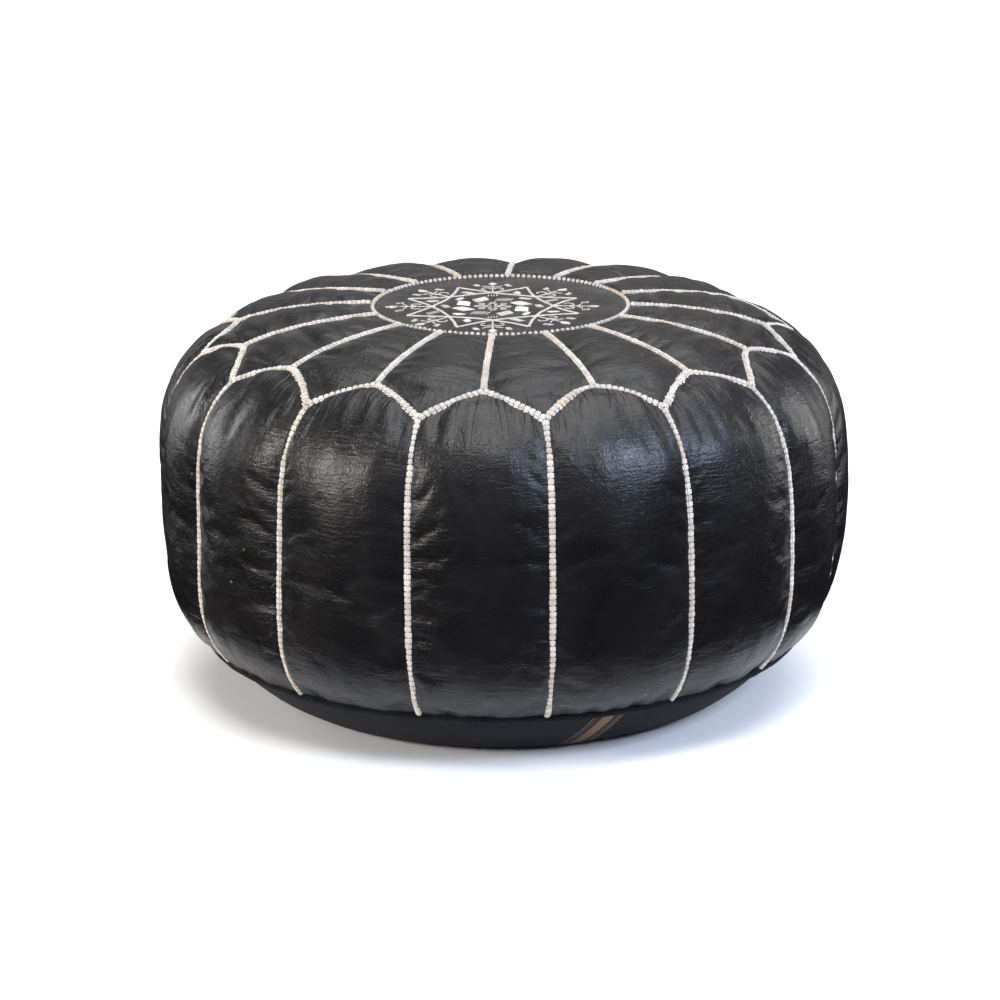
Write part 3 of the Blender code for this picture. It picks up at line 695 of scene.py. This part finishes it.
def thread_bead(name, pinched_sides):
    """Four strands side by side between two ties, bulging in the middle and drawn in where they are tied."""
    strand = thread_stitch("strand", 6)
    bpy.ops.object.select_all(action="DESELECT")
    for across, height in STRANDS:
        size = Matrix.Diagonal((BEAD_PITCH * 1.12, STRAND_WIDTH, STRAND_WIDTH, 1))
        copy = bpy.data.objects.new(name, strand.data.copy())
        copy.data.transform(Matrix.Translation((0, across, height)) @ size)
        bpy.context.collection.objects.link(copy)
        copy.select_set(True)
    bpy.context.view_layer.objects.active = copy
    bpy.ops.object.join()
    bead = bpy.context.object
    bead.name = name
    for corner in bead.data.vertices:
        tied = (abs(corner.co.x) / (BEAD_PITCH / 2)) ** 2
        if corner.co.y > 0 or pinched_sides == 2:
            corner.co.y *= 1.08 - (1.08 - BEAD_WAIST) * min(tied, 1)
    bpy.context.collection.objects.unlink(bead)
    return bead


round_bead = thread_bead("round_bead", 2)
edge_bead = thread_bead("edge_bead", 1)

seam_angles = FIRST_SEAM + np.arange(PANEL_COUNT) * PITCH
SEAM_POINTS = 240

ring_turn = np.linspace(0, 2 * math.pi, 4 * SEAM_POINTS) + FIRST_SEAM
small_bead = Matrix.Diagonal((0.62, 0.56, 1.15, 1))
ring_places = [step @ small_bead for step in seam_steps(RING_RUN, ring_turn, BEAD_PITCH, BRAID_LEVEL)]
ring_braid = lay_copies("braid_ring", round_bead, ring_places)

slanted_bead = Matrix.Rotation(math.radians(12), 4, "Z") @ Matrix.Diagonal((0.92, 1.18, 1.4, 1))
scallop_places = []
for panel, angle in enumerate(seam_angles):
    for side in (1, -1):
        offset = np.linspace(0, 1, SEAM_POINTS)
        run_here, azimuth_here = arch_run(offset, panel), angle + side * offset * PITCH / 2
        if side < 0:
            run_here, azimuth_here = run_here[::-1], azimuth_here[::-1]
        steps = seam_steps(run_here, azimuth_here, BEAD_PITCH, BRAID_LEVEL, 0.0001)
        scallop_places += [step @ slanted_bead for step in steps]
scallop_braid = lay_copies("braid_scallops", edge_bead, scallop_places)

side_places = []
for angle in seam_angles + PITCH / 2:
    run_here = np.linspace(VALLEY_RUN + 0.001, BASE_RUN - 0.001, SEAM_POINTS)
    side_places += seam_steps(run_here, angle, BEAD_PITCH, BRAID_LEVEL, 0.00012)
side_braid = lay_copies("braid_side_seams", round_bead, side_places)

# the petals' own seams carry the same beads, a little finer and closer
PETAL_BEAD_PITCH = 0.0037
PETAL_BEAD_LEVEL = 0.0011

fine_bead = Matrix.Diagonal((0.85, 1.0, 1.2, 1))
petal_places = []
for angle in seam_angles:
    run_here = np.linspace(RING_RUN + 0.002, PEAK_RUN - 0.001, SEAM_POINTS)
    steps = seam_steps(run_here, angle, PETAL_BEAD_PITCH, PETAL_BEAD_LEVEL, 0.00008)
    petal_places += [step @ fine_bead for step in steps]
petal_braid = lay_copies("braid_petal_seams", round_bead, petal_places)

for piece, solid in (
    (ring_braid, "top_braid"),
    (petal_braid, "top_braid"),
    (scallop_braid, "side_braid"),
    (side_braid, "side_braid"),
):
    dress(piece, cotton_thread)
    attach(piece, "cover")
    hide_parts(solid)


# ---------------------------------------------------------------- embroidery
# Worked by hand in one weight of off-white thread before the cover is sewn: an eight-pointed star of two
# interlaced squares with hollow sides, satin and open blocks inside it and small flowers between its points.

STAR_REACH = 0.072
STAR_WAIST = 0.035
STAR_TURN = math.radians(22.5)
EMBROIDERY_MIDDLE = (-0.006, -0.008)
STITCH_WIDTH = 0.0011
STITCH_HEIGHT = 0.0009
# how light each kind of stitch is: the lines keep the thread's own tone, the satin is a little lighter for a
# painted sheen, and the brightest satin is near white for a painted highlight
LINE_SHADE = 0.72
SATIN_PAINTED_SHEEN_SHADE = 0.80
SATIN_PAINTED_GLINT_SHADE = 0.99

embroidery_stitch = thread_stitch("embroidery_stitch", 6)
embroidery_places = []


def sew_stitch(a, b, width=STITCH_WIDTH, shade=LINE_SHADE):
    """One stitch on the medallion, from a to b."""
    wobble = chance.normal(0, 0.00012, 4)
    a = (a[0] + EMBROIDERY_MIDDLE[0] + wobble[0], a[1] + EMBROIDERY_MIDDLE[1] + wobble[1])
    b = (b[0] + EMBROIDERY_MIDDLE[0] + wobble[2], b[1] + EMBROIDERY_MIDDLE[1] + wobble[3])
    ends = on_medallion((a[0], b[0]), (a[1], b[1]), 0.0003)
    start, end = Vector(ends[0]), Vector(ends[1])
    along = end - start
    across = Vector((0, 0, 1)).cross(along).normalized()
    up = along.normalized().cross(across)
    size = Matrix((along, across * width, up * STITCH_HEIGHT * width / STITCH_WIDTH)).transposed()
    shade = float(np.clip(shade + chance.normal(0, 0.1), 0, 1))
    embroidery_places.append((Matrix.Translation((start + end) / 2) @ size.to_4x4(), shade))


def sew_line(points, step=0.0017, length=0.0029, slant=0.00035, width=STITCH_WIDTH):
    """Stem stitch along a line: overlapping slanting stitches that read as a twisted cord."""
    points = np.asarray(points, float)
    run_along = np.concatenate([[0], np.cumsum(np.linalg.norm(np.diff(points, axis=0), axis=1))])
    for at in np.arange(step / 2, run_along[-1], step):
        back, front = at - length / 2, at + length / 2
        a = np.array([np.interp(back, run_along, points[:, k]) for k in range(2)])
        b = np.array([np.interp(front, run_along, points[:, k]) for k in range(2)])
        heading = (b - a) / max(np.linalg.norm(b - a), 1e-9)
        side = np.array([-heading[1], heading[0]]) * slant
        sew_stitch(a - side, b + side, width)


def polar(radius, angle):
    """A point of the embroidery by its distance from the middle and its direction."""
    return np.array([radius * math.cos(angle), radius * math.sin(angle)])


def sew_block(
    middle, angle, stitches, gap, length, lean=0.35, taper=0.0, width=STITCH_WIDTH, shade=SATIN_PAINTED_SHEEN_SHADE
):
    """A leaning block of side-by-side stitches: touching for satin, apart for a comb, tapered to its ends."""
    axis, cross = polar(1, angle), polar(1, angle + math.pi / 2)
    for k in range(stitches):
        at = (k - (stitches - 1) / 2) * gap
        half = length / 2 * (1 - taper * abs(2 * at / (stitches * gap)))
        centre = middle + axis * at + cross * at * lean
        sew_stitch(centre - cross * half, centre + cross * half, width, shade)


SATIN_GAP = 0.00098
COMB_GAP = 0.0022

for k in range(8):
    tip, next_tip = STAR_TURN + k * math.pi / 4, STAR_TURN + (k + 2) * math.pi / 4
    a, b = polar(STAR_REACH, tip), polar(STAR_REACH, next_tip)
    hollow = polar(2 * STAR_WAIST * 1.22 - STAR_REACH * math.cos(math.pi / 4), (tip + next_tip) / 2)
    t = np.linspace(0, 1, 40)[:, None]
    side_line = (1 - t) ** 2 * a + 2 * t * (1 - t) * hollow + t**2 * b
    sew_line(side_line, length=0.0033, slant=0.0009, width=STITCH_WIDTH * 1.25)

open_comb = {"width": STITCH_WIDTH * 0.85, "shade": LINE_SHADE}
for k in range(8):
    tip, between = STAR_TURN + k * math.pi / 4, (k + 0.5) * math.pi / 4 + STAR_TURN
    # inside each point, a small satin leaf or a comb, turn and turn about
    if k % 2:
        sew_block(polar(0.051, tip), tip, 9, SATIN_GAP, 0.0075, taper=0.7)
    else:
        sew_block(polar(0.050, tip), tip, 5, COMB_GAP, 0.0068, shade=LINE_SHADE)
    # the inner wreath of eight leaning blocks: satin, a comb, satin and satin with a painted highlight, twice
    # round
    if k % 4 == 1:
        sew_block(polar(0.0240, tip), tip + math.pi / 2, 6, COMB_GAP, 0.0105, **open_comb)
    else:
        satin = SATIN_PAINTED_GLINT_SHADE if k % 4 == 3 else SATIN_PAINTED_SHEEN_SHADE
        sew_block(polar(0.0245, tip), tip + math.pi / 2, 13, SATIN_GAP, 0.0108, shade=satin)
    # outside it a ring of smaller ones
    if k % 2:
        sew_block(polar(0.0365, between), between + math.pi / 2, 4, COMB_GAP, 0.0062, **open_comb)
    else:
        sew_block(polar(0.0365, between), between + math.pi / 2, 9, SATIN_GAP, 0.0060, taper=0.3)
    # the flower between two points: a stalk, two curls, leaves like combs and a satin head
    sew_line([polar(0.045, between), polar(0.073, between)], width=STITCH_WIDTH * 0.9)
    sew_block(polar(0.0785, between), between, 10, SATIN_GAP, 0.0078, lean=0, taper=0.8)
    for side in (1, -1):
        middle = polar(0.0600, between + side * 0.085)
        sweep = np.linspace(0, 1.5 * math.pi, 14) * side + between - side * math.pi / 2
        curl = middle + 0.0038 * np.stack([np.cos(sweep), np.sin(sweep)], axis=-1)
        sew_line(curl, step=0.0017, length=0.0024, width=STITCH_WIDTH * 0.85)
        sew_line([polar(0.066, between), polar(0.0705, between + side * 0.12)], width=STITCH_WIDTH * 0.8)
        sew_block(polar(0.0735, between + side * 0.17), between, 4, 0.0017, 0.0046, shade=LINE_SHADE)
    # the small flower in the very middle
    sew_stitch(polar(0.0025, tip), polar(0.0105, tip), STITCH_WIDTH)
    turned = t[:, 0] * 6.3
    petal_loop = polar(0.0120, between) + 0.0024 * np.stack([np.cos(turned), np.sin(turned)], axis=-1)
    sew_line(petal_loop, step=0.0018, length=0.0024, width=STITCH_WIDTH * 0.8)

# Mercerised cotton: the same thread finer and shinier, so that satin stitch catches the light.
silky_thread = cotton_thread.copy()
silky_thread.name = "mercerised cotton thread"
silky = silky_thread.node_tree.nodes["Principled BSDF"]
silky.inputs["Roughness"].default_value = 0.45
silky.inputs["Sheen Weight"].default_value = 0.1
# its tones run up to near white, which gives the brightest satin its painted highlight
lustre = next(n for n in silky_thread.node_tree.nodes if n.type == "VALTORGB").color_ramp
for element, colour in zip(lustre.elements, ("#8d857b", "#a39b91", "#c0bab2", "#dcd9d5", "#e8e6e3")):
    element.color = srgb(colour)

embroidery = lay_copies("embroidery_star", embroidery_stitch, embroidery_places)
dress(embroidery, silky_thread)
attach(embroidery, "cover")


# ---------------------------------------------------------------- piping round the base
# A welt of brushed black cotton rolled over a cord and sewn between the side panels and the base cloth.

PIPING_RADIUS = 0.00365
PIPING_LINE = 0.2370
PIPING_AROUND = 480
PIPING_SIDES = 14
PIPING_HEIGHT = BASE_SEAM_HEIGHT

bpy.ops.object.select_all(action="DESELECT")
bpy.ops.mesh.primitive_torus_add(
    major_radius=PIPING_LINE,
    minor_radius=PIPING_RADIUS,
    major_segments=PIPING_AROUND,
    minor_segments=PIPING_SIDES,
    location=(0, 0, PIPING_HEIGHT),
)
piping = bpy.context.object
piping.name = "base_welt"
bpy.ops.object.transform_apply(location=True, rotation=True, scale=True)
points = corners(piping.data)
turned = np.arctan2(points[:, 1], points[:, 0])
middle = PIPING_LINE * np.stack([np.cos(turned), np.sin(turned), 0 * turned], axis=-1)
middle[:, 2] = PIPING_HEIGHT
lumps = 1 + 0.10 * soft_noise(points, (90, 90, 90), 11) + 0.08 * soft_noise(points, (420, 420, 420), 12)
sway = 0.0011 * soft_noise(middle, (14, 14, 14), 13)
points = middle + (points - middle) * lumps[:, None]
points[:, 2] += sway
shape(piping, points)
bpy.ops.object.shade_smooth()

# Brushed cotton drill, dyed black: no gloss at all. The pale fuzz where its nap catches the light is painted
# into its colour as pale specks, a painted highlight.
dull = {"Roughness": 0.9, "Specular IOR Level": 0.08, "Sheen Weight": 0.03, "Sheen Roughness": 0.6}
brushed_cotton, tree, shader = new_material("brushed cotton drill", dull)
place = add_node(tree, "TexCoord").outputs["Object"]
lint_and_glints = add_node(tree, "TexNoise", {"Scale": 900.0, "Detail": 2.0}, {"Vector": place}).outputs["Fac"]
nap_with_painted_glints = add_node(tree, "ValToRGB", links={"Fac": lint_and_glints}, stops=((0.45, "#060608"), (0.78, "#20242e")))
tree.links.new(nap_with_painted_glints.outputs["Color"], shader.inputs["Base Color"])
fuzz = add_node(tree, "Bump", {"Strength": 0.7, "Distance": 0.0006}, {"Height": lint_and_glints})
tree.links.new(fuzz.outputs["Normal"], shader.inputs["Normal"])
dress(piping, brushed_cotton)
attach(piping, "cover")
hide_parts("base_piping")


# ---------------------------------------------------------------- base cloth
# Two half rounds of black woven cotton with a narrow woven stripe, drawn tight under the filling and meeting
# at the zip, which lies in a shallow trough so that the pouf stands flat.

CLOTH_RADIUS = 0.2350
FOOT_RADIUS = 0.181
FOOT_POWER = 1.5
TROUGH_DEPTH = 0.010
TROUGH_FLAT = 0.009
TROUGH_WALL = 0.018
ZIP_EDGE = 0.0085
ZIP_EDGE_END = 0.1575
ZIP_EDGE_TAPER = 0.0035
CLOTH_THICKNESS = 0.0012
CLOTH_RIPPLE = 0.0012
CLOTH_AROUND = 160
CLOTH_STEPS = 60


def base_height(x, y):
    """How high the base cloth lies: up to the welt outside the foot, and up into the trough over the zip."""
    r = np.hypot(x, y)
    rise = PIPING_HEIGHT * np.clip((r - FOOT_RADIUS) / (CLOTH_RADIUS - FOOT_RADIUS), 0, 1) ** FOOT_POWER
    near = np.clip(1 - (np.abs(y) - TROUGH_FLAT) / TROUGH_WALL, 0, 1)
    return np.maximum(rise, TROUGH_DEPTH * near * near * (3 - 2 * near))


# Hand-woven cotton base cloth: plain weave, two threads a millimetre, drawn here at one in two millimetres so
# that it shows. A narrow band of tan warp runs slantwise across, between two pairs of thin off-white lines.
STRIPE_TURN = math.radians(-40)
STRIPE_SHIFT = 0.078
STRIPE_HALF_REPEAT = 0.24
STRIPES = (
    (0.0, "#6f5a49"),
    (0.105, "#3c2a1e"),
    (0.15, "#15151a"),
    (0.2, "#8f8779"),
    (0.21, "#15151a"),
    (0.26, "#8f8779"),
    (0.27, "#15151a"),
)

dull = {"Roughness": 0.85, "Specular IOR Level": 0.12, "Sheen Weight": 0.03}
woven_cotton, tree, shader = new_material("handwoven cotton", dull)
whole = add_node(tree, "TexCoord").outputs["Object"]
place = add_node(tree, "Mapping", {"Rotation": (0, 0, STRIPE_TURN)}, {"Vector": whole}).outputs["Vector"]
axes = add_node(tree, "SeparateXYZ", links={"Vector": place})
across = add_node(tree, "Math", {1: STRIPE_SHIFT}, {0: axes.outputs["X"]}, operation="ADD")
repeat = add_node(tree, "Math", {1: STRIPE_HALF_REPEAT}, {0: across.outputs["Value"]}, operation="PINGPONG")
# the stops of a stripe are in units of 40 mm
stripe_at = add_node(tree, "Math", {1: 25.0}, {0: repeat.outputs["Value"]}, operation="MULTIPLY")
stripe = add_node(tree, "ValToRGB", links={"Fac": stripe_at.outputs["Value"]}, stops=STRIPES)
stripe.color_ramp.interpolation = "CONSTANT"
threads = {"Scale": 160.0, "Distortion": 0.6, "Detail": 1.0}
warp = add_node(tree, "TexWave", threads, {"Vector": place}, bands_direction="X").outputs["Fac"]
weft = add_node(tree, "TexWave", threads, {"Vector": place}, bands_direction="Y").outputs["Fac"]
weave = add_node(tree, "Math", links={0: warp, 1: weft}, operation="MAXIMUM")
# the weave is painted into the colour: painted shade between the threads and painted light on their crowns
shade = add_node(tree, "MapRange", {"To Min": 0.55, "To Max": 1.15}, {"Value": weave.outputs["Value"]})
shaded = {"A": stripe.outputs["Color"], "B": shade.outputs["Result"]}
dyed_and_weave_shaded = add_node(tree, "Mix", {"Factor": 1.0}, shaded, data_type="RGBA", blend_type="MULTIPLY")
tree.links.new(dyed_and_weave_shaded.outputs["Result"], shader.inputs["Base Color"])
cloth_bump = add_node(tree, "Bump", {"Strength": 0.5, "Distance": 0.0004}, {"Height": weave.outputs["Value"]})
tree.links.new(cloth_bump.outputs["Normal"], shader.inputs["Normal"])

for side_name, side in (("front", -1), ("back", 1)):
    cloth, flat = new_grid("base_cotton_" + side_name, CLOTH_AROUND, CLOTH_STEPS)
    angle = (flat[:, 0] + 1) / 2 * math.pi
    reach = CLOTH_RADIUS * (1 - flat[:, 1]) / 2
    x = reach * np.cos(angle)
    rim = np.sqrt(np.maximum(CLOTH_RADIUS**2 - x**2, 1e-12))
    edge = ZIP_EDGE * np.clip((ZIP_EDGE_END - np.abs(x)) / ZIP_EDGE_TAPER, 0.02, 1)
    edge = np.minimum(edge, rim * 0.5)
    y = edge + reach * np.sin(angle) * (1 - edge / rim)
    # it ripples a little where it rises from the foot to the welt
    from_middle = np.hypot(x, y)
    past_foot = np.clip((from_middle - FOOT_RADIUS) / 0.02, 0, 1)
    before_welt = np.clip((CLOTH_RADIUS - from_middle) / 0.01, 0, 1)
    ripples = soft_noise(np.stack([x, y * side, 0 * x], axis=-1), (24, 24, 1), 15)
    z = base_height(x, y) + CLOTH_RIPPLE * ripples * past_foot * before_welt
    shape(cloth, np.stack([x, y * side, np.maximum(z, 0)], axis=-1))
    close_joins(0.00002, outward=True)
    if cloth.data.polygons[len(cloth.data.polygons) // 2].normal.z > 0:
        cloth.data.flip_normals()
    thicken(cloth, CLOTH_THICKNESS)
    bpy.ops.object.shade_smooth()
    dress(cloth, woven_cotton)
    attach(cloth, "cover")
    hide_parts("base_cloth_" + side_name)


# ---------------------------------------------------------------- filling
# Loose cotton waste and wadding, packed in by hand through the zip until the leather is tight.

LUMP_SIZE = 0.012
LUMP_DEPTH = 0.0012

filling = bpy.data.objects["stuffing"].copy()
filling.data = filling.data.copy()
filling.name = "cotton_waste"
bpy.context.collection.objects.link(filling)
filling.parent = None
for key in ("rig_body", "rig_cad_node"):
    del filling[key]
pick(filling)
close_joins(0.00001)
pack = filling.modifiers.new("packed", "REMESH")
pack.mode = "VOXEL"
pack.voxel_size = LUMP_SIZE
bpy.ops.object.modifier_apply(modifier=pack.name)
points = corners(filling.data)
lumps = np.abs(soft_noise(points, (38, 38, 38), 17)) + 0.3
centre = np.array([0, 0, COVER_HEIGHT / 2])
inward = centre - points
inward /= np.linalg.norm(inward, axis=1, keepdims=True)
shape(filling, points + inward * (LUMP_DEPTH * lumps)[:, None])
bpy.ops.object.shade_smooth()

# Cotton waste: creamy white fibre with darker neps, wholly matt.
matt = {"Roughness": 0.95, "Specular IOR Level": 0.1}
cotton_waste, tree, shader = new_material("carded cotton waste", matt)
place = add_node(tree, "TexCoord").outputs["Object"]
nep = add_node(tree, "TexNoise", {"Scale": 120.0, "Detail": 6.0, "Roughness": 0.7}, {"Vector": place})
nep = nep.outputs["Fac"]
fluff = add_node(tree, "ValToRGB", links={"Fac": nep}, stops=((0, "#a89a84"), (1, "#efe8da")))
tree.links.new(fluff.outputs["Color"], shader.inputs["Base Color"])
fluffy = add_node(tree, "Bump", {"Strength": 0.8, "Distance": 0.003}, {"Height": nep})
tree.links.new(fluffy.outputs["Normal"], shader.inputs["Normal"])
dress(filling, cotton_waste)
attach(filling, "cover")
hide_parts("stuffing")


# ---------------------------------------------------------------- zip
# A moulded zip with black teeth on woven tape, sewn between the two halves of the base cloth. The slider is
# die-cast and nickel-plated, and its pull swings on a wire crown.

TAPE_STEPS = 200
TAPE_ROWS = 8
TAPE_WAVE = 0.00025

# Woven polyester tape: fine ribs along its length, a dull satin black.
zip_tape, tree, shader = new_material("woven polyester tape", {"Roughness": 0.7})
place = add_node(tree, "TexCoord").outputs["Object"]
rib = add_node(tree, "TexWave", {"Scale": 330.0, "Distortion": 0.3}, {"Vector": place}, bands_direction="Y")
rib = rib.outputs["Fac"]
# the ribs are painted lighter on their crests and darker in the grooves between them: painted light and shade
ribs_painted_light_and_shade = add_node(tree, "ValToRGB", links={"Fac": rib}, stops=((0, "#0c0c0e"), (1, "#1f1f23")))
tree.links.new(ribs_painted_light_and_shade.outputs["Color"], shader.inputs["Base Color"])
rib_bump = add_node(tree, "Bump", {"Strength": 0.6, "Distance": 0.0002}, {"Height": rib})
tree.links.new(rib_bump.outputs["Normal"], shader.inputs["Normal"])

for side in ("front", "back"):
    solid = "zip_tape_" + side
    low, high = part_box(solid)
    tape, points = new_grid("woven_" + solid, TAPE_STEPS, TAPE_ROWS)
    x = low.x + (high.x - low.x) * (points[:, 0] + 1) / 2
    y = low.y + (high.y - low.y) * (points[:, 1] + 1) / 2
    wave = TAPE_WAVE * soft_noise(np.stack([x, y, 0 * x], axis=-1), (60, 90, 1), 19)
    shape(tape, np.stack([x, y, low.z + np.abs(wave)], axis=-1))
    tape.data.flip_normals()
    thicken(tape, high.z - low.z)
    dress(tape, zip_tape)
    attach(tape, "cover")
    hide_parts(solid)

# Injection-moulded acetal teeth: black, slightly waxy, with a low gloss.
acetal, tree, shader = new_material("moulded acetal", {"Roughness": 0.38})
place = add_node(tree, "TexCoord").outputs["Object"]
mould = add_node(tree, "TexNoise", {"Scale": 300.0, "Detail": 3.0}, {"Vector": place}).outputs["Fac"]
black = add_node(tree, "ValToRGB", links={"Fac": mould}, stops=((0, "#121214"), (1, "#1c1c20")))
tree.links.new(black.outputs["Color"], shader.inputs["Base Color"])
for solid in ("teeth_front", "teeth_back", "top_stop_front", "top_stop_back", "bottom_stop"):
    dress(frame["nodes"]["zip_" + solid], acetal)

# Die-cast zinc, nickel plated: bare metal to the eye, with a gloss that varies where it has been handled.
plated_zinc, tree, shader = new_material("nickel-plated zinc casting", {"Metallic": 1.0})
place = add_node(tree, "TexCoord").outputs["Object"]
rubbed = add_node(tree, "TexNoise", {"Scale": 220.0, "Detail": 4.0}, {"Vector": place}).outputs["Fac"]
plating = add_node(tree, "ValToRGB", links={"Fac": rubbed}, stops=((0, "#8d8f92"), (1, "#c4c6c9")))
tree.links.new(plating.outputs["Color"], shader.inputs["Base Color"])
handled = add_node(tree, "MapRange", {"To Min": 0.22, "To Max": 0.42}, {"Value": rubbed})
tree.links.new(handled.outputs["Result"], shader.inputs["Roughness"])
for solid in ("zip_slider", "zip_pull"):
    dress(frame["nodes"][solid], plated_zinc)
